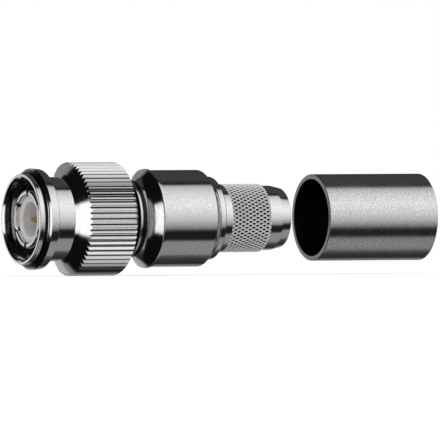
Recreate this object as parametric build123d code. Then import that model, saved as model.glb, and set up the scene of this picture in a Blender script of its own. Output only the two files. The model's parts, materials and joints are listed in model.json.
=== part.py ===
from build123d import *
from math import cos, pi, radians, sin, tan
import os

# A straight crimp plug for thick coaxial cable, with a threaded coupling nut, and its loose crimp ferrule.
# Units are millimetres. The plug's axis is X and the cable leaves towards +X.
# The origin is on the axis at the front rim of the outer contact, and +Z is up.

# Running and seating clearances
TURNING_CLEARANCE = 0.05
SEATING_CLEARANCE = 0.02
GROOVE_PLAY = 0.03
NUT_FLOAT = 0.2

# Roundings of turned edges and corners
FINE_ROUNDING = 0.05
EDGE_ROUNDING = 0.1
CORNER_ROUNDING = 0.15
SOFT_ROUNDING = 0.2
FLOOR_ROUNDING = 0.3

# Outer contact: slotted fingers with a raised contact band, a shoulder for the gasket, and a rear flange
BAND_OD = 8.2
BAND_LENGTH = 1.85
SLEEVE_OD = 7.8
SLEEVE_ID = 6.5
SLEEVE_LENGTH = 5.65
TIP_ROUNDING = 0.35
SLOT_COUNT = 6
SLOT_WIDTH = 0.62
SLOT_LENGTH = 4.6
SLOT_ANGLE = 36
SHOULDER_OD = 10.1
FLANGE_OD = 11.2
FLANGE_LENGTH = 0.4
FLANGE_GAP = 1.45
SPIGOT_OD = 8.6
SPIGOT_LENGTH = 2.4

# Gasket on the root of the sleeve, against the shoulder
GASKET_OD = 10.0
GASKET_LENGTH = 1.0

# Coupling nut
NUT_LEAD = 0.8
NUT_LENGTH = 14.2
MOUTH_ID = 11.36
MOUTH_DEPTH = 1.5
MOUTH_CHAMFER = 0.22
THREAD_MINOR = 10.3
THREAD_MAJOR = 11.14
THREAD_PITCH = 0.907
THREAD_LENGTH = 4.6
RELIEF_ID = 11.5
LIP_OD = 12.5
NUT_FLANGE_OD = 14.0
NUT_FLANGE_TAPER = 0.12
NUT_FLANGE_START = 1.43
NUT_FLANGE_WIDTH = 1.28
NUT_FLANGE_ANGLE = 70
NUT_FLANGE_CHAMFER = 0.34
COVE_RADIUS = 0.5
NUT_NECK_OD = 11.6
NUT_NECK_LENGTH = 2.84
NUT_FLARE_FOOT = 0.5
NUT_FLARE_ANGLE = 52.5
KNURL_OD = 15.65
KNURL_TEETH = 60
KNURL_DEPTH = 0.36
REAR_CHAMFER = 0.2

# Retaining ring between the outer contact and the nut
RING_ID = 9.5
RING_THICKNESS = 0.7
RING_WIDTH = 0.7
RING_GAP = 1.6
RING_SETBACK = 3.2
RING_GROOVE_ID = 8.7

# Main body
BODY_OD = 13.36
BODY_LENGTH = 11.0
BODY_NOSE_OD = 10.4
NOSE_COVE_LENGTH = 1.65
NOSE_COVE_RISE = 0.6
NOSE_COVE_RADIUS = 2.2
BEAD_RISE = 0.18
BEAD_LENGTH = 0.35
BEAD_ROUNDING = 0.4
CAVITY_ID = 9.2
SEAT_ID = 10.4
SEAT_DEPTH = 3.6

# Crimp neck: a collar and a hollow knurled stem over which the braid is crimped
COLLAR_GAP = 0.9
COLLAR_OD = 11.5
COLLAR_LENGTH = 0.92
LAND_OD = 9.42
LAND_LENGTH = 1.48
PIT_COUNT = 52
PIT_COLUMNS = 11
PIT_SPACING = 0.54
PIT_DEPTH = 0.25
PLAIN_OD = 8.9
PLAIN_LENGTH = 1.8
TAPER_LENGTH = 1.5
TAPER_OD = 8.2
TAPER_ROUNDING = 0.8
NECK_BORE = 7.5

# Insulators and centre contact
LINER_RECESS = 0.45
LINER_DISH = 0.2
LINER_ID = 4.8
LINER_DEPTH = 5.4
PIN_OD = 1.35
PIN_RECESS = 0.75
PIN_TIP_LENGTH = 1.5
PIN_TIP_OD = 0.45
PIN_STEM_OD = 2.2
BARREL_OD = 3.1
BARREL_LENGTH = 8.0
BARREL_BARE_END = 2.4
BARREL_BORE = 2.4
BARREL_BORE_DEPTH = 5.5
SIGHT_HOLE = 0.8

# Ferrule, shown drawn off the neck
FERRULE_OD = 12.0
FERRULE_WALL = 0.7
FERRULE_LENGTH = 16.7
FERRULE_OFFSET = 15.83

# Stations along the axis
shoulder_x = SLEEVE_LENGTH + GASKET_LENGTH
liner_end = LINER_RECESS + LINER_DEPTH
nut_front = -NUT_LEAD
nut_rear = nut_front + NUT_LENGTH
flange_front = nut_rear + FLANGE_GAP
body_front = flange_front + FLANGE_LENGTH
body_rear = body_front + BODY_LENGTH
collar_front = body_rear + COLLAR_GAP
collar_rear = collar_front + COLLAR_LENGTH
knurl_front = collar_rear + LAND_LENGTH
knurl_rear = knurl_front + PIT_COLUMNS * PIT_SPACING
taper_front = knurl_rear + PLAIN_LENGTH
neck_rear = taper_front + TAPER_LENGTH
ring_front = nut_rear - RING_SETBACK - RING_WIDTH
ring_rear = ring_front + RING_WIDTH
ring_od = RING_ID + 2 * RING_THICKNESS
spigot_front = body_front - SPIGOT_LENGTH
rear_bead_length = BARREL_LENGTH - BARREL_BARE_END
ferrule_front = collar_rear + FERRULE_OFFSET
barrel_front = spigot_front + SEATING_CLEARANCE
barrel_rear = barrel_front + BARREL_LENGTH


def turned(corners):
    """A solid turned about the X axis from the (x, radius, rounding) corners of its half section."""
    points = [(x, radius) for x, radius, rounding in corners]
    roundings = [rounding for x, radius, rounding in corners]
    section = make_face(FilletPolyline(*points, radius=roundings, close=True))
    return revolve(section, Axis.X, 360)


def outer_contact():
    """The slotted sleeve with its gasket shoulder, ring groove and rear flange, turned in one piece."""
    band_r = BAND_OD / 2
    sleeve_r = SLEEVE_OD / 2
    bore_r = SLEEVE_ID / 2
    shoulder_r = SHOULDER_OD / 2
    flange_r = FLANGE_OD / 2
    groove_r = RING_GROOVE_ID / 2
    spigot_r = SPIGOT_OD / 2 + SEATING_CLEARANCE
    blank = turned([
        (0, band_r, TIP_ROUNDING),
        (BAND_LENGTH, band_r, 0),
        (BAND_LENGTH + band_r - sleeve_r, sleeve_r, 0),
        (shoulder_x, sleeve_r, 0),
        (shoulder_x, shoulder_r, EDGE_ROUNDING),
        (ring_front - NUT_FLOAT, shoulder_r, 0),
        (ring_front - NUT_FLOAT, groove_r, 0),
        (ring_rear + NUT_FLOAT, groove_r, 0),
        (ring_rear + NUT_FLOAT, shoulder_r, 0),
        (flange_front, shoulder_r, 0),
        (flange_front, flange_r, CORNER_ROUNDING),
        (body_front, flange_r, EDGE_ROUNDING),
        (body_front, spigot_r, 0),
        (spigot_front, spigot_r, 0),
        (spigot_front, bore_r, 0),
        (0, bore_r, SOFT_ROUNDING),
    ])
    slots = Part()
    for index in range(SLOT_COUNT // 2):
        across = Box(2 * SLOT_LENGTH, BAND_OD * 2, SLOT_WIDTH)
        slots += Rot(X=SLOT_ANGLE + index * 360 / SLOT_COUNT) * across
    return blank - slots


def coupling_gasket():
    """The soft sealing ring on the root of the sleeve, against the shoulder."""
    return turned([
        (SLEEVE_LENGTH, SLEEVE_OD / 2, 0),
        (SLEEVE_LENGTH, GASKET_OD / 2, SOFT_ROUNDING),
        (shoulder_x, GASKET_OD / 2, SOFT_ROUNDING),
        (shoulder_x, SLEEVE_OD / 2, 0),
    ])


def coupling_nut():
    """The threaded nut: a flared mouth, a flange, a neck and a straight-knurled grip."""
    lip_r = LIP_OD / 2
    flange_r = NUT_FLANGE_OD / 2
    neck_r = NUT_NECK_OD / 2
    knurl_r = KNURL_OD / 2
    mouth_r = MOUTH_ID / 2
    thread_r = THREAD_MINOR / 2
    relief_r = RELIEF_ID / 2
    rear_r = SHOULDER_OD / 2 + TURNING_CLEARANCE
    groove_r = ring_od / 2 + TURNING_CLEARANCE
    flange_x = nut_front + NUT_FLANGE_START
    chamfer_x = flange_x - NUT_FLANGE_CHAMFER
    chamfer_r = flange_r - NUT_FLANGE_CHAMFER
    cove_x = chamfer_x - (chamfer_r - lip_r) / tan(radians(NUT_FLANGE_ANGLE))
    neck_x = flange_x + NUT_FLANGE_WIDTH
    flare_x = neck_x + NUT_NECK_LENGTH
    foot_x = flare_x + NUT_FLARE_FOOT
    foot_r = neck_r + NUT_FLARE_FOOT
    knurl_x = foot_x + (knurl_r - foot_r) / tan(radians(NUT_FLARE_ANGLE))
    thread_x = nut_front + MOUTH_DEPTH
    thread_end = thread_x + THREAD_LENGTH
    relief_end = shoulder_x + 2 * NUT_FLOAT
    blank = turned([
        (nut_front, lip_r, EDGE_ROUNDING),
        (cove_x, lip_r, COVE_RADIUS),
        (chamfer_x, chamfer_r, FINE_ROUNDING),
        (flange_x, flange_r, FINE_ROUNDING),
        (neck_x, flange_r - NUT_FLANGE_TAPER, SOFT_ROUNDING),
        (neck_x, neck_r, EDGE_ROUNDING),
        (flare_x, neck_r, FINE_ROUNDING),
        (foot_x, foot_r, 0),
        (knurl_x, knurl_r, 0),
        (nut_rear - REAR_CHAMFER, knurl_r, 0),
        (nut_rear, knurl_r - REAR_CHAMFER, 0),
        (nut_rear, rear_r, 0),
        (ring_rear + GROOVE_PLAY, rear_r, 0),
        (ring_rear + GROOVE_PLAY, groove_r, 0),
        (ring_front - GROOVE_PLAY, groove_r, 0),
        (ring_front - GROOVE_PLAY, rear_r, 0),
        (relief_end, rear_r, 0),
        (relief_end, relief_r, CORNER_ROUNDING),
        (thread_end, relief_r, CORNER_ROUNDING),
        (thread_end, thread_r, 0),
        (thread_x, thread_r, 0),
        (thread_x, mouth_r, 0),
        (nut_front + MOUTH_CHAMFER, mouth_r, 0),
        (nut_front, mouth_r + MOUTH_CHAMFER, 0),
    ])
    return blank - knurl_waste(flare_x, nut_rear) - thread_waste(thread_x, thread_end)


def knurl_waste(front, rear):
    """What a straight knurling tool leaves out: a ring whose inside is a star of right-angled vees."""
    root_r = KNURL_OD / 2 - KNURL_DEPTH
    tooth = 2 * pi / KNURL_TEETH
    crest_r = root_r / (cos(tooth / 2) - sin(tooth / 2))
    star = []
    for index in range(KNURL_TEETH):
        root = index * tooth
        crest = root + tooth / 2
        star.append((root_r * cos(root), root_r * sin(root)))
        star.append((crest_r * cos(crest), crest_r * sin(crest)))
    ring = Circle(KNURL_OD) - make_face(Polyline(*star, close=True))
    return extrude(Plane.YZ.offset(front) * ring, rear - front)


def thread_waste(front, rear):
    """The screw-shaped groove that a thread cutter takes out, with 60 degree flanks and a narrow flat bottom.

    Its four sides are each ruled between two helices of the same pitch, and it runs a pitch past both ends.
    """
    root_r = THREAD_MAJOR / 2
    open_r = THREAD_MINOR / 2 - EDGE_ROUNDING
    half_bottom = THREAD_PITCH / 16
    half_open = half_bottom + (root_r - open_r) * tan(radians(30))
    length = rear - front + 2 * THREAD_PITCH
    corners = [(root_r, -half_bottom), (root_r, half_bottom), (open_r, half_open), (open_r, -half_open)]
    edges = [Helix(THREAD_PITCH, length, radius, center=(0, 0, lead)).edge() for radius, lead in corners]
    faces = [Face.make_surface_from_curves(edges[index - 1], edges[index]) for index in range(4)]
    for end in (0, 1):
        faces.append(Face(Wire.make_polygon([edge @ end for edge in edges], close=True)))
    return Pos(front - THREAD_PITCH, 0, 0) * Rot(Y=90) * Solid(Shell(faces))


def retaining_ring():
    """The split ring that holds the nut on the outer contact."""
    ring = turned([
        (ring_front, RING_ID / 2, 0),
        (ring_front, ring_od / 2, 0),
        (ring_rear, ring_od / 2, 0),
        (ring_rear, RING_ID / 2, 0),
    ])
    gap = Box(4 * RING_WIDTH, RING_GAP, ring_od)
    return ring - Pos((ring_front + ring_rear) / 2, 0, ring_od / 2) * gap


def main_body():
    """The barrel between the outer contact and the crimp neck."""
    body_r = BODY_OD / 2
    bead_r = body_r + BEAD_RISE
    nose_r = BODY_NOSE_OD / 2
    cove_end = body_front + NOSE_COVE_LENGTH
    cone_r = nose_r + NOSE_COVE_RISE
    bead_x = cove_end + bead_r - cone_r
    spigot_r = SPIGOT_OD / 2
    bore_r = SLEEVE_ID / 2
    seat_x = body_rear - SEAT_DEPTH
    cavity_x = spigot_front + rear_bead_length
    return turned([
        (spigot_front, bore_r, 0),
        (spigot_front, spigot_r, EDGE_ROUNDING),
        (body_front, spigot_r, 0),
        (body_front, nose_r, 0),
        (cove_end - NOSE_COVE_RISE, nose_r, NOSE_COVE_RADIUS),
        (bead_x, bead_r, BEAD_ROUNDING),
        (bead_x + BEAD_LENGTH, bead_r, 0),
        (bead_x + BEAD_LENGTH, body_r, 0),
        (body_rear, body_r, CORNER_ROUNDING),
        (body_rear, SEAT_ID / 2, 0),
        (seat_x, SEAT_ID / 2, 0),
        (seat_x, CAVITY_ID / 2, 0),
        (cavity_x, CAVITY_ID / 2, 0),
        (cavity_x, bore_r, 0),
    ])


def crimp_neck():
    """The insert with its collar, its hollow stem and the diamond knurl that grips the braid."""
    bore_r = NECK_BORE / 2
    land_r = LAND_OD / 2
    front = turned([
        (body_rear - SEAT_DEPTH + SEATING_CLEARANCE, bore_r, 0),
        (body_rear - SEAT_DEPTH + SEATING_CLEARANCE, SEAT_ID / 2 - SEATING_CLEARANCE, SOFT_ROUNDING),
        (collar_front, SEAT_ID / 2 - SEATING_CLEARANCE, 0),
        (collar_front, COLLAR_OD / 2, EDGE_ROUNDING),
        (collar_rear, COLLAR_OD / 2, SOFT_ROUNDING),
        (collar_rear, land_r, EDGE_ROUNDING),
        (knurl_front, land_r, 0),
        (knurl_front, bore_r, 0),
    ])
    rear = turned([
        (knurl_rear, bore_r, 0),
        (knurl_rear, PLAIN_OD / 2, 0),
        (taper_front, PLAIN_OD / 2, TAPER_ROUNDING),
        (neck_rear, TAPER_OD / 2, EDGE_ROUNDING),
        (neck_rear, bore_r, EDGE_ROUNDING),
    ])
    return front + diamond_knurl() + rear


def diamond_knurl():
    """The knurled stretch of the stem, as rhombic pits whose edges are the ridges.

    Pits lie in columns, each turned by half a pit from the last. Each pit has four flat sides.
    """
    crest_r = LAND_OD / 2
    pit_r = crest_r - PIT_DEPTH
    step = 360 / PIT_COUNT

    def at(column, turn, radius):
        x = knurl_front + column * PIT_SPACING
        angle = radians(turn * step)
        return Vector(x, radius * cos(angle), radius * sin(angle))

    faces = []
    for column in range(PIT_COLUMNS + 1):
        for index in range(PIT_COUNT):
            turn = index + 0.5 * ((column + 1) % 2)
            bottom = at(column, turn, pit_r)
            low = at(column, turn - 0.5, crest_r)
            high = at(column, turn + 0.5, crest_r)
            if column > 0:
                tip = at(column - 1, turn, crest_r)
                faces.append(facet(tip, low, bottom))
                faces.append(facet(tip, bottom, high))
            if column < PIT_COLUMNS:
                tip = at(column + 1, turn, crest_r)
                faces.append(facet(tip, bottom, low))
                faces.append(facet(tip, high, bottom))
    for column in (0, PIT_COLUMNS):
        outline = []
        for index in range(PIT_COUNT):
            turn = index + 0.5 * ((column + 1) % 2)
            outline.append(at(column, turn, pit_r))
            outline.append(at(column, turn + 0.5, crest_r))
        faces.append(Face(Wire.make_polygon(outline, close=True)))
    core = Solid(Shell(faces))
    bore = Cylinder(NECK_BORE / 2, 2 * (knurl_rear - knurl_front), rotation=(0, 90, 0))
    return Part() + core - Pos((knurl_front + knurl_rear) / 2, 0, 0) * bore


def facet(a, b, c):
    """A flat three-cornered face."""
    return Face(Wire.make_polygon([a, b, c], close=True))


def front_insulator():
    """The liner of the sleeve and the bead behind it that carries the pin."""
    outer_r = SLEEVE_ID / 2
    stem_r = PIN_STEM_OD / 2 + SEATING_CLEARANCE
    return turned([
        (LINER_RECESS, outer_r, EDGE_ROUNDING),
        (spigot_front, outer_r, 0),
        (spigot_front, stem_r, 0),
        (liner_end, stem_r, 0),
        (liner_end, LINER_ID / 2, FLOOR_ROUNDING),
        (LINER_RECESS + LINER_DISH, LINER_ID / 2, EDGE_ROUNDING),
    ])


def rear_insulator():
    """The bead round the barrel of the pin."""
    bore_r = BARREL_OD / 2 + SEATING_CLEARANCE
    return turned([
        (spigot_front, bore_r, 0),
        (spigot_front, SLEEVE_ID / 2, 0),
        (spigot_front + rear_bead_length, SLEEVE_ID / 2, EDGE_ROUNDING),
        (spigot_front + rear_bead_length, bore_r, EDGE_ROUNDING),
    ])


def centre_pin():
    """The centre contact: a tapered tip, a stem and a crimp barrel with a sight hole."""
    pin_r = PIN_OD / 2
    stem_r = PIN_STEM_OD / 2
    bore_x = barrel_rear - BARREL_BORE_DEPTH
    tip_x = PIN_RECESS + PIN_TIP_LENGTH
    pin = turned([
        (PIN_RECESS, 0, 0),
        (PIN_RECESS, PIN_TIP_OD / 2, CORNER_ROUNDING),
        (tip_x, pin_r, FLOOR_ROUNDING),
        (liner_end, pin_r, 0),
        (liner_end, stem_r, FINE_ROUNDING),
        (barrel_front, stem_r, 0),
        (barrel_front, BARREL_OD / 2, EDGE_ROUNDING),
        (barrel_rear, BARREL_OD / 2, EDGE_ROUNDING),
        (barrel_rear, BARREL_BORE / 2, EDGE_ROUNDING),
        (bore_x, BARREL_BORE / 2, 0),
        (bore_x, 0, 0),
    ])
    sight = Cylinder(SIGHT_HOLE / 2, BARREL_OD)
    return pin - Pos(bore_x + SIGHT_HOLE, 0, BARREL_OD / 2) * sight


def crimp_ferrule():
    """The plain tube that is crimped over the braid."""
    outer_r = FERRULE_OD / 2
    inner_r = outer_r - FERRULE_WALL
    rear = ferrule_front + FERRULE_LENGTH
    return turned([
        (ferrule_front, inner_r, EDGE_ROUNDING),
        (ferrule_front, outer_r, EDGE_ROUNDING),
        (rear, outer_r, EDGE_ROUNDING),
        (rear, inner_r, EDGE_ROUNDING),
    ])


pieces = {
    "outer_contact": outer_contact,
    "coupling_gasket": coupling_gasket,
    "coupling_nut": coupling_nut,
    "retaining_ring": retaining_ring,
    "main_body": main_body,
    "crimp_neck": crimp_neck,
    "front_insulator": front_insulator,
    "rear_insulator": rear_insulator,
    "centre_pin": centre_pin,
    "crimp_ferrule": crimp_ferrule,
}

os.makedirs("parts", exist_ok=True)
for name, make in pieces.items():
    export_step(make(), f"parts/{name}.step")
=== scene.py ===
import json
import math

import bpy
from mathutils import Matrix, Vector

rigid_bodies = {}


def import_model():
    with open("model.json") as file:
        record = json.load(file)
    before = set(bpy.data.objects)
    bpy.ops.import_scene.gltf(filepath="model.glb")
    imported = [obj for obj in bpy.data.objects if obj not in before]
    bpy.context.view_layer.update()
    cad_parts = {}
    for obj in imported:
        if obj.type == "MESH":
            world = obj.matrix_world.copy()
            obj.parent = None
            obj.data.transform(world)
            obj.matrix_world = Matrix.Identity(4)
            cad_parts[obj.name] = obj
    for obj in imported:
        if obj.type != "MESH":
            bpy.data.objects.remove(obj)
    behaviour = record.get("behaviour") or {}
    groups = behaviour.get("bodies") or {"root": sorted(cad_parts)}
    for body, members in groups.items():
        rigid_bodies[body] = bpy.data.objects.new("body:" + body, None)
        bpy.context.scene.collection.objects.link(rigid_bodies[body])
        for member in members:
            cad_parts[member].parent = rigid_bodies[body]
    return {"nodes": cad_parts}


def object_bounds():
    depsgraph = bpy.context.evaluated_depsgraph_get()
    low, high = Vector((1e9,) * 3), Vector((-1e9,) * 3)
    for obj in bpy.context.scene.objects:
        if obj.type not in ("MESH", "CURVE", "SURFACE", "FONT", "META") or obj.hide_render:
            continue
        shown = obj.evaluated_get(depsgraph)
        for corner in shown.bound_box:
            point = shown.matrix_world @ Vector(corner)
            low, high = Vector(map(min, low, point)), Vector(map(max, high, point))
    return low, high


for left_over in list(bpy.data.objects):
    bpy.data.objects.remove(left_over)
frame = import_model()
cad_low, cad_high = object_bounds()
nodes = frame["nodes"]

MM = 0.001

# Camera: how far it is turned round the plug and tilted, in degrees, and its other sizes in millimetres
VIEW_TURN = -26.5
VIEW_ROLL = 0.37
VIEW_WIDTH = 60.8
VIEW_DISTANCE = 2600
SENSOR_WIDTH = 36
AIM = (29.78, 0, -0.265)
NEAREST = 10
FARTHEST = 100000

# Studio: light by the angle round the plug's axis, from straight behind through below, front and above
PANEL_LEVELS = [
    (-180, 0.3), (-150, 0.2), (-139, 0.014), (-124, 0.03), (-112, 0.036), (-106, 0.085), (-101, 0.075),
    (-97, 0.22), (-84, 0.25), (-58, 0.24), (-55.5, 0.12), (-53, 0.009), (-32, 0.007), (-28.5, 0.05), (-25, 0.19),
    (-18, 0.33), (-12, 0.42), (-7, 0.52), (0, 0.61), (10, 0.71), (19, 0.79), (29, 0.87), (38, 0.87),
    (49, 0.82), (60, 0.76), (76, 0.58), (84, 0.45), (87.5, 0.012), (96, 0.016), (102, 0.045),
    (145, 0.045), (180, 0.006),
]

# Levels of the panels that stand on one side only, and of the dark room round them
FRONT_LAMP_LEVEL = 1.1
FRONT_WALL_LEVEL = 0.1
FRONT_WALL_RISE = 0.12
BACK_LEVEL = 0.2
RIM_LEVEL = 0.65
BACK_RIGHT_LEVEL = 0.7
BACK_LEFT_LEVEL = 0.4
ROOM_LEVEL = 0.004

# The white backdrop ends between these angles from the camera's axis, in degrees
BACKDROP_FULL = 15
BACKDROP_END = 19

# The even light on matt surfaces, and how much of it is missing on the left
MATT_LIGHT = 0.88
MATT_LIGHT_LOSS = 0.35

# Floor, in millimetres, with its grey and its glow
FLOOR_SIZE = 6000
FLOOR_DROP = 0.02
FLOOR_GREY = 0.8
FLOOR_GLOW = 0.4

# Where plate is rougher or frosted, and where shade is painted into its colour, in millimetres. PITS,
# FROSTED_KNURL, COLLAR_BACK, LIP_CORNER, LIP_CHAMFER_FOOT and
# FLANGE_GAP say where it begins and ends. Each other pair is the two ends of one soft edge.
PITS = (29.6, 35.4)
PIT_TOP = (4.59, 4.66)
FROSTED_KNURL = (29.5, 35.5)
COLLAR_BACK = (27.93, 28.2)
COLLAR_BACK_TOP = (5.5, 5.55)
CONE_FOOT_RADIUS = 6.3
CONE_SLOPE = 1.303
CONE_FOOT = (5.3, 5.36)
GROOVE_BOTTOM = (7.2, 7.3)
GROOVE_TOP = (7.49, 7.62)
LIP_CORNER = (-0.12, 0.4)
LIP_CORNER_BOTTOM = (6.1, 6.15)
LIP_CHAMFER_FOOT = (6.54, 6.66)
FLANGE_GAP = (13.2, 14.95)
FLANGE_GAP_TOP = (5.53, 5.58)
NOSE_GAP_END = (15.95, 16.2)
FERRULE_BORE_WALL = (5.32, 5.4)
FERRULE_CUT_END = (43.9, 43.98)

# How strong and how grey the painted shade is, and how much rougher and less metal the plate gets
COLLAR_BACK_SHADE_STRENGTH = 0.8
CUT_END_SHADE_STRENGTH = 0.8
PAINTED_SHADE_GREY = 0.03
PAINTED_BORE_SHADE = 0.04
PAINTED_CUT_END_SHADE = 0.13
DARK_ROUGHNESS = 0.25
BORE_ROUGHNESS = 0.3
FROST_ROUGHNESS = 0.3
FROST_METAL_LOSS = 0.85

# The grain of plate: where its light spots begin and end, and how much of the tone it makes beside the cloud
SPOT_EDGE = (0.42, 0.58)
SPOT_SHARE = 0.8


class Value:
    """An output socket. Arithmetic on it adds Math nodes to its tree."""

    def __init__(self, tree, socket):
        self.tree = tree
        self.socket = socket

    def maths(self, operation, *values):
        return self.tree.node("ShaderNodeMath", {"operation": operation}, dict(enumerate(values)))

    def __add__(self, other):
        return self.maths("ADD", self, other)

    def __sub__(self, other):
        return self.maths("SUBTRACT", self, other)

    def __rsub__(self, other):
        return self.maths("SUBTRACT", other, self)

    def __mul__(self, other):
        return self.maths("MULTIPLY", self, other)

    def __truediv__(self, other):
        return self.maths("DIVIDE", self, other)

    def __pow__(self, other):
        return self.maths("POWER", self, other)

    __radd__ = __add__
    __rmul__ = __mul__


class Tree:
    """The emptied node tree of a material or the world."""

    def __init__(self, owner):
        owner.use_nodes = True
        self.nodes = owner.node_tree.nodes
        self.links = owner.node_tree.links
        self.nodes.clear()

    def node(self, kind, settings=None, inputs=None, output=0):
        """Adds a node, makes its settings, fills its sockets with values or links, and gives one output."""
        made = self.nodes.new(kind)
        for name, value in (settings or {}).items():
            if name == "stops":
                self.place_stops(made.color_ramp, value)
            else:
                setattr(made, name, value)
        for name, value in (inputs or {}).items():
            if isinstance(value, Value):
                self.links.new(value.socket, made.inputs[name])
            else:
                made.inputs[name].default_value = value
        return Value(self, made.outputs[output]) if made.outputs else None

    def place_stops(self, ramp, stops):
        """Gives a ramp grey stops, each a position and a level."""
        while len(ramp.elements) < len(stops):
            ramp.elements.new(1)
        for element, (position, level) in zip(ramp.elements, stops):
            element.position = position
            element.color = (level, level, level, 1)

    def parts(self, vector):
        """The x, y and z of a vector."""
        split = self.node("ShaderNodeSeparateXYZ", inputs={0: vector})
        return [Value(self, socket) for socket in split.socket.node.outputs]

    def rise(self, value, low, high):
        """0 below low, 1 above high, with a smooth rise between."""
        return self.node("ShaderNodeMapRange", {"interpolation_type": "SMOOTHSTEP"},
                         {"Value": value, "From Min": low, "From Max": high})

    def fall(self, value, low, high):
        """1 below low, 0 above high, with a smooth fall between."""
        return 1 - self.rise(value, low, high)

    def within(self, value, low, high, edge):
        """1 between low and high and 0 outside, with edges that wide."""
        half = edge / 2
        return self.rise(value, low - half, low + half) * self.fall(value, high - half, high + half)

    def noise(self, vector, scale, detail=3, roughness=0.5):
        """Uneven from 0 to 1 in all directions."""
        return self.node("ShaderNodeTexNoise", {"noise_dimensions": "3D"},
                         {"Vector": vector, "Scale": scale, "Detail": detail, "Roughness": roughness})

    def rings(self, x, radius, scale):
        """Uneven from 0 to 1 along the axis and outwards, as a turning tool leaves a surface."""
        return self.node("ShaderNodeTexNoise", {"noise_dimensions": "1D"},
                         {"W": x + radius, "Scale": scale, "Detail": 3, "Roughness": 0.7})

    def mix(self, factor, first, second):
        """The first colour where the factor is 0 and the second where it is 1."""
        return self.node("ShaderNodeMix", {"data_type": "RGBA", "clamp_factor": True},
                         {0: factor, 6: first, 7: second}, output=2)

    def bump(self, height, strength, depth):
        """The normal of a surface with this relief, whose depth is in millimetres."""
        return self.node("ShaderNodeBump", inputs={"Strength": strength, "Distance": depth * MM, "Height": height})

    def finish_surface(self, inputs):
        """Ends a material in one surface with these inputs."""
        shader = self.node("ShaderNodeBsdfPrincipled", inputs=inputs)
        self.node("ShaderNodeOutputMaterial", inputs={"Surface": shader})


def colour(level, warmth=0.0):
    """A grey of a linear level, made warmer or cooler in its red and blue."""
    return (level * (1 + warmth), level, level * (1 - warmth), 1)


def studio():
    """Soft panels round the object, given by the direction they are seen in.

    Polished metal mirrors the panels, matt surfaces get an even light, and the camera sees white behind it all.
    Swing is the angle round the plug's axis, from the front upwards, as a turned surface mirrors it. Negative x
    is to the left in the photograph, and negative y is towards the camera.
    """
    world = bpy.data.worlds.new("studio")
    bpy.context.scene.world = world
    tree = Tree(world)
    direction = tree.node("ShaderNodeTexCoord", output="Generated")
    x, y, z = tree.parts(direction)
    left = 0 - x
    front = 0 - y
    height = tree.node("ShaderNodeMath", {"operation": "ABSOLUTE"}, {0: z})

    # Panels all round the axis, which end at the left and at the far right
    swing = tree.node("ShaderNodeMath", {"operation": "ARCTAN2"}, {0: z, 1: front})
    turn = swing * (0.5 / math.pi) + 0.5
    stops = [(0.5 + angle / 360, level) for angle, level in PANEL_LEVELS]
    panels = tree.node("ShaderNodeValToRGB", {"stops": stops}, {0: turn})
    panels = panels * tree.within(x, -0.2, 0.86, edge=0.1)

    # In front: a lamp at the far left with a slanted top, and a dim wall that is lighter to the left
    lamp_top = 0.317 - y * 0.354
    front_lamp = tree.rise(left, 0.82, 0.87) * tree.rise(front, 0.02, 0.08)
    front_lamp = front_lamp * tree.fall(height - lamp_top, -0.025, 0.025) * FRONT_LAMP_LEVEL
    wall_level = FRONT_WALL_LEVEL + FRONT_WALL_RISE * tree.rise(left, 0.3, 0.42)
    front_wall = tree.rise(front, 0.4, 0.6) * tree.rise(left, 0, 0.1) * wall_level

    # Behind: a dim panel in the middle, a rim panel and a small one to the left, and a small one to the right
    back = tree.rise(x, -0.47, -0.3) * tree.fall(x, 0.3, 0.4) * tree.rise(y, 0.66, 0.74)
    back = back * tree.fall(height, 0.56, 0.66) * BACK_LEVEL
    rim = tree.rise(left, 0.3, 0.45) * tree.rise(y, 0.5, 0.7) * tree.fall(height, 0.1, 0.3) * RIM_LEVEL
    back_left = tree.rise(left, 0.6, 0.66) * tree.within(y, 0.1, 0.3, edge=0.08)
    back_left = back_left * tree.within(z, -0.3, 0.35, edge=0.06) * BACK_LEFT_LEVEL
    back_right = tree.rise(x, 0.56, 0.62) * tree.rise(y, 0, 0.08)
    back_right = back_right * tree.within(z, -0.1, 0.15, edge=0.06) * BACK_RIGHT_LEVEL

    # The backdrop round the camera's axis, cut off at the right
    turned = math.radians(VIEW_TURN)
    view = Vector((-math.sin(turned), math.cos(turned), 0))
    ahead = tree.node("ShaderNodeVectorMath", {"operation": "DOT_PRODUCT"}, {0: direction, 1: view}, output="Value")
    backdrop = tree.rise(ahead, math.cos(math.radians(BACKDROP_END)), math.cos(math.radians(BACKDROP_FULL)))
    backdrop = backdrop * tree.fall(x, 0.36, 0.42)

    light = panels + front_lamp + front_wall + back + rim + back_right + back_left + backdrop + ROOM_LEVEL
    matt_light = MATT_LIGHT - MATT_LIGHT_LOSS * tree.rise(left, 0.2, 0.7)
    seen = tree.node("ShaderNodeLightPath", output="Is Camera Ray")
    matt = tree.node("ShaderNodeLightPath", output="Is Diffuse Ray")
    strength = seen + (1 - seen) * (matt * matt_light + (1 - matt) * light)
    background = tree.node("ShaderNodeBackground", inputs={"Color": (1, 1, 1, 1), "Strength": strength})
    tree.node("ShaderNodeOutputWorld", inputs={"Surface": background})


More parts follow.
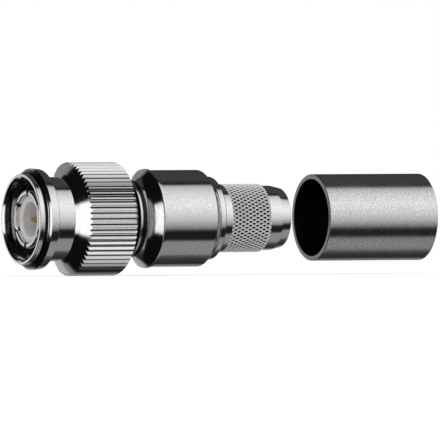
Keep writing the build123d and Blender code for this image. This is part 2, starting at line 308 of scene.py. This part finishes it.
def floor():
    """A plain pale floor just under the knurl. Metal doesn't mirror it, as the panels below stand in for it."""
    low = cad_low.z - FLOOR_DROP * MM
    half = FLOOR_SIZE * MM / 2
    mesh = bpy.data.meshes.new("floor")
    corners = [(-half, -half, low), (half, -half, low), (half, half, low), (-half, half, low)]
    mesh.from_pydata(corners, [], [(0, 1, 2, 3)])
    material = bpy.data.materials.new("pale_floor")
    tree = Tree(material)
    matt = tree.node("ShaderNodeBsdfDiffuse", inputs={"Color": colour(FLOOR_GREY)})
    glow = tree.node("ShaderNodeEmission", inputs={"Color": colour(1), "Strength": FLOOR_GLOW})
    both = tree.node("ShaderNodeAddShader", inputs={0: matt, 1: glow})
    seen = tree.node("ShaderNodeLightPath", output="Is Camera Ray")
    shader = tree.node("ShaderNodeMixShader", inputs={0: seen, 1: matt, 2: both})
    tree.node("ShaderNodeOutputMaterial", inputs={"Surface": shader})
    mesh.materials.append(material)
    plane = bpy.data.objects.new("floor", mesh)
    plane.visible_glossy = False
    bpy.context.scene.collection.objects.link(plane)


def camera():
    """A long lens at the photograph's angle, level with the plug's axis."""
    turn = math.radians(VIEW_TURN)
    roll = math.radians(VIEW_ROLL)
    back = Vector((math.sin(turn), -math.cos(turn), 0))
    right = Vector((math.cos(turn), math.sin(turn), 0))
    up = Vector((0, 0, math.cos(roll))) + right * math.sin(roll)
    side = up.cross(back)
    data = bpy.data.cameras.new("camera")
    data.sensor_width = SENSOR_WIDTH
    data.lens = SENSOR_WIDTH * VIEW_DISTANCE / VIEW_WIDTH
    data.clip_start = NEAREST * MM
    data.clip_end = FARTHEST * MM
    made = bpy.data.objects.new("camera", data)
    place = (Vector(AIM) + back * VIEW_DISTANCE) * MM
    turned = Matrix((side, up, back)).transposed().to_4x4()
    made.matrix_world = Matrix.Translation(place) @ turned
    bpy.context.scene.collection.objects.link(made)
    bpy.context.scene.camera = made


def surface(name):
    """A new material's tree with the point on the piece in millimetres, its x, and its radius from the axis."""
    material = bpy.data.materials.new(name)
    tree = Tree(material)
    metres = tree.node("ShaderNodeTexCoord", output="Object")
    point = tree.node("ShaderNodeVectorMath", {"operation": "SCALE"}, {0: metres, "Scale": 1 / MM})
    x, y, z = tree.parts(point)
    radius = (y * y + z * z) ** 0.5
    return material, tree, point, x, radius


def plate_level(tree, cloud, grain):
    """How light plate is from 0 to 1: small spots of the grain on a faint cloud."""
    return (1 - SPOT_SHARE) * cloud + SPOT_SHARE * tree.rise(grain, *SPOT_EDGE)


def bright_plate(name, painted_shade_mask, darkest=0.76, frosted_mask=None):
    """Silver-white plate on turned brass: rings left by the tool, a faint uneven polish and fine grain.

    The painted shade mask takes the tree, x and radius, and is 1 where shade is painted into the plate's colour and
    its roughness is raised, as at the bottom of a knurl. The frosted mask takes the tree and x, and is 1 where the
    plate scatters the light.
    """
    material, tree, point, x, radius = surface(name)
    rings = tree.rings(x, radius, 9)
    cloud = tree.noise(point, 0.5)
    grain = tree.noise(point, 6, detail=2, roughness=0.6)
    tone = tree.mix(plate_level(tree, cloud, grain), colour(darkest, 0.01), colour(1.0, 0.005))
    roughness = 0.07 + 0.08 * cloud
    metallic = 1
    if frosted_mask:
        frosted = frosted_mask(tree, x)
        roughness = roughness + FROST_ROUGHNESS * frosted
        metallic = 1 - FROST_METAL_LOSS * frosted
    # Painted shade: where this mask is 1 the colour goes to the painted shade grey and the roughness rises.
    dark = painted_shade_mask(tree, x, radius)
    tree.finish_surface({
        "Base Color": tree.mix(dark, tone, colour(PAINTED_SHADE_GREY)), "Metallic": metallic,
        "Roughness": roughness + DARK_ROUGHNESS * dark,
        "Normal": tree.bump(rings * 0.3 + grain * 0.7, strength=0.5, depth=0.01)})
    return material


def knurl_pits(tree, x, radius):
    """Painted shade in the bottoms of the diamond knurl's pits and on the broken edge at the back of the collar."""
    pits = tree.within(x, *PITS, edge=0.1) * tree.fall(radius, *PIT_TOP)
    collar_back = tree.within(x, *COLLAR_BACK, edge=0.04) * tree.rise(radius, *COLLAR_BACK_TOP)
    return pits + collar_back * COLLAR_BACK_SHADE_STRENGTH


def frosted_knurl(tree, x):
    """The rolled sides of the diamond knurl, which scatter the light."""
    return tree.within(x, *FROSTED_KNURL, edge=0.05)


def nut_corners(tree, x, radius):
    """Painted shade in the bottoms of the grooves between the nut's teeth, and in the corner between its lip and
    its flange.
    """
    behind_cone = tree.rise(x - (radius - CONE_FOOT_RADIUS) / CONE_SLOPE, *CONE_FOOT)
    grooves = behind_cone * tree.rise(radius, *GROOVE_BOTTOM) * tree.fall(radius, *GROOVE_TOP)
    lip_corner = tree.within(x, *LIP_CORNER, edge=0.06) * tree.rise(radius, *LIP_CORNER_BOTTOM)
    return grooves + lip_corner * (1 - tree.within(radius, *LIP_CHAMFER_FOOT, edge=0.04))


def flange_gap(tree, x, radius):
    """Painted shade in the narrow gap behind the nut, as far out as the face of the flange."""
    return tree.within(x, *FLANGE_GAP, edge=0.04) * tree.fall(radius, *FLANGE_GAP_TOP)


def nose_gap(tree, x, radius):
    """Painted shade on the narrow ring of the body's nose that touches the flange."""
    return tree.fall(x, *NOSE_GAP_END)


def satin_nickel():
    """Satin plate on a drawn and annealed tube: fine grain, a rougher bore with painted shade, and painted shade on
    the cut end.
    """
    material, tree, point, x, radius = surface("satin_nickel")
    grain = tree.noise(point, 5, detail=4, roughness=0.7)
    cloud = tree.noise(point, 0.4)
    # Painted shade in the bore, which is also made rougher.
    bore = tree.fall(radius, *FERRULE_BORE_WALL)
    # Painted shade on the cut end of the tube.
    cut_end_shade = tree.fall(x, *FERRULE_CUT_END) * CUT_END_SHADE_STRENGTH
    tone = tree.mix(plate_level(tree, cloud, grain), colour(0.66, 0.01), colour(1.0, 0.01))
    tone = tree.mix(bore, tone, colour(PAINTED_BORE_SHADE))
    tree.finish_surface({
        "Base Color": tree.mix(cut_end_shade, tone, colour(PAINTED_CUT_END_SHADE)), "Metallic": 1,
        "Roughness": 0.16 + 0.08 * cloud + BORE_ROUGHNESS * bore,
        "Normal": tree.bump(grain, strength=0.5, depth=0.008)})
    return material


def plain_metal(name, dark, light, roughness):
    """A small metal piece with rings and an uneven tone between two colours."""
    material, tree, point, x, radius = surface(name)
    rings = tree.rings(x, radius, 14)
    tree.finish_surface({
        "Base Color": tree.mix(tree.noise(point, 1.5), dark, light), "Metallic": 1,
        "Roughness": roughness + 0.08 * rings, "Normal": tree.bump(rings, strength=0.3, depth=0.004)})
    return material


def waxy_white():
    """Turned fluoropolymer: waxy white with soft rings."""
    material, tree, point, x, radius = surface("waxy_white")
    rings = tree.rings(x, radius, 11)
    tree.finish_surface({
        "Base Color": tree.mix(tree.noise(point, 1.2), colour(0.86, 0.01), colour(0.93, 0.01)),
        "Roughness": 0.38 + 0.1 * rings, "Normal": tree.bump(rings, strength=0.4, depth=0.01),
        "Subsurface Weight": 0.15, "Subsurface Radius": (0.4 * MM, 0.4 * MM, 0.4 * MM), "IOR": 1.38})
    return material


def matt_silicone():
    """Moulded silicone rubber: matt red brown with a fine grain."""
    material, tree, point, _, _ = surface("matt_silicone")
    grain = tree.noise(point, 9)
    tree.finish_surface({
        "Base Color": tree.mix(tree.noise(point, 1), (0.16, 0.022, 0.012, 1), (0.22, 0.035, 0.018, 1)),
        "Roughness": 0.5 + 0.15 * grain, "Normal": tree.bump(grain, strength=0.4, depth=0.01)})
    return material


def dress(material, *names):
    """Gives CAD nodes a material in place of their plain one."""
    for name in names:
        slots = nodes[name].data.materials
        slots.clear()
        slots.append(material)


studio()
floor()
camera()
bpy.context.scene.view_settings.view_transform = "Standard"

dress(bright_plate("contact_plate", flange_gap), "outer_contact")
dress(bright_plate("body_plate", nose_gap), "main_body")
dress(bright_plate("nut_plate", nut_corners, darkest=0.86), "coupling_nut")
dress(bright_plate("neck_plate", knurl_pits, darkest=0.92, frosted_mask=frosted_knurl), "crimp_neck")
dress(satin_nickel(), "crimp_ferrule")
dress(plain_metal("bright_gold", (0.62, 0.4, 0.13, 1), (0.7, 0.47, 0.17, 1), 0.08), "centre_pin")
dress(plain_metal("drawn_bronze", (0.38, 0.22, 0.09, 1), (0.46, 0.28, 0.12, 1), 0.3), "retaining_ring")
dress(waxy_white(), "front_insulator", "rear_insulator")
dress(matt_silicone(), "coupling_gasket")
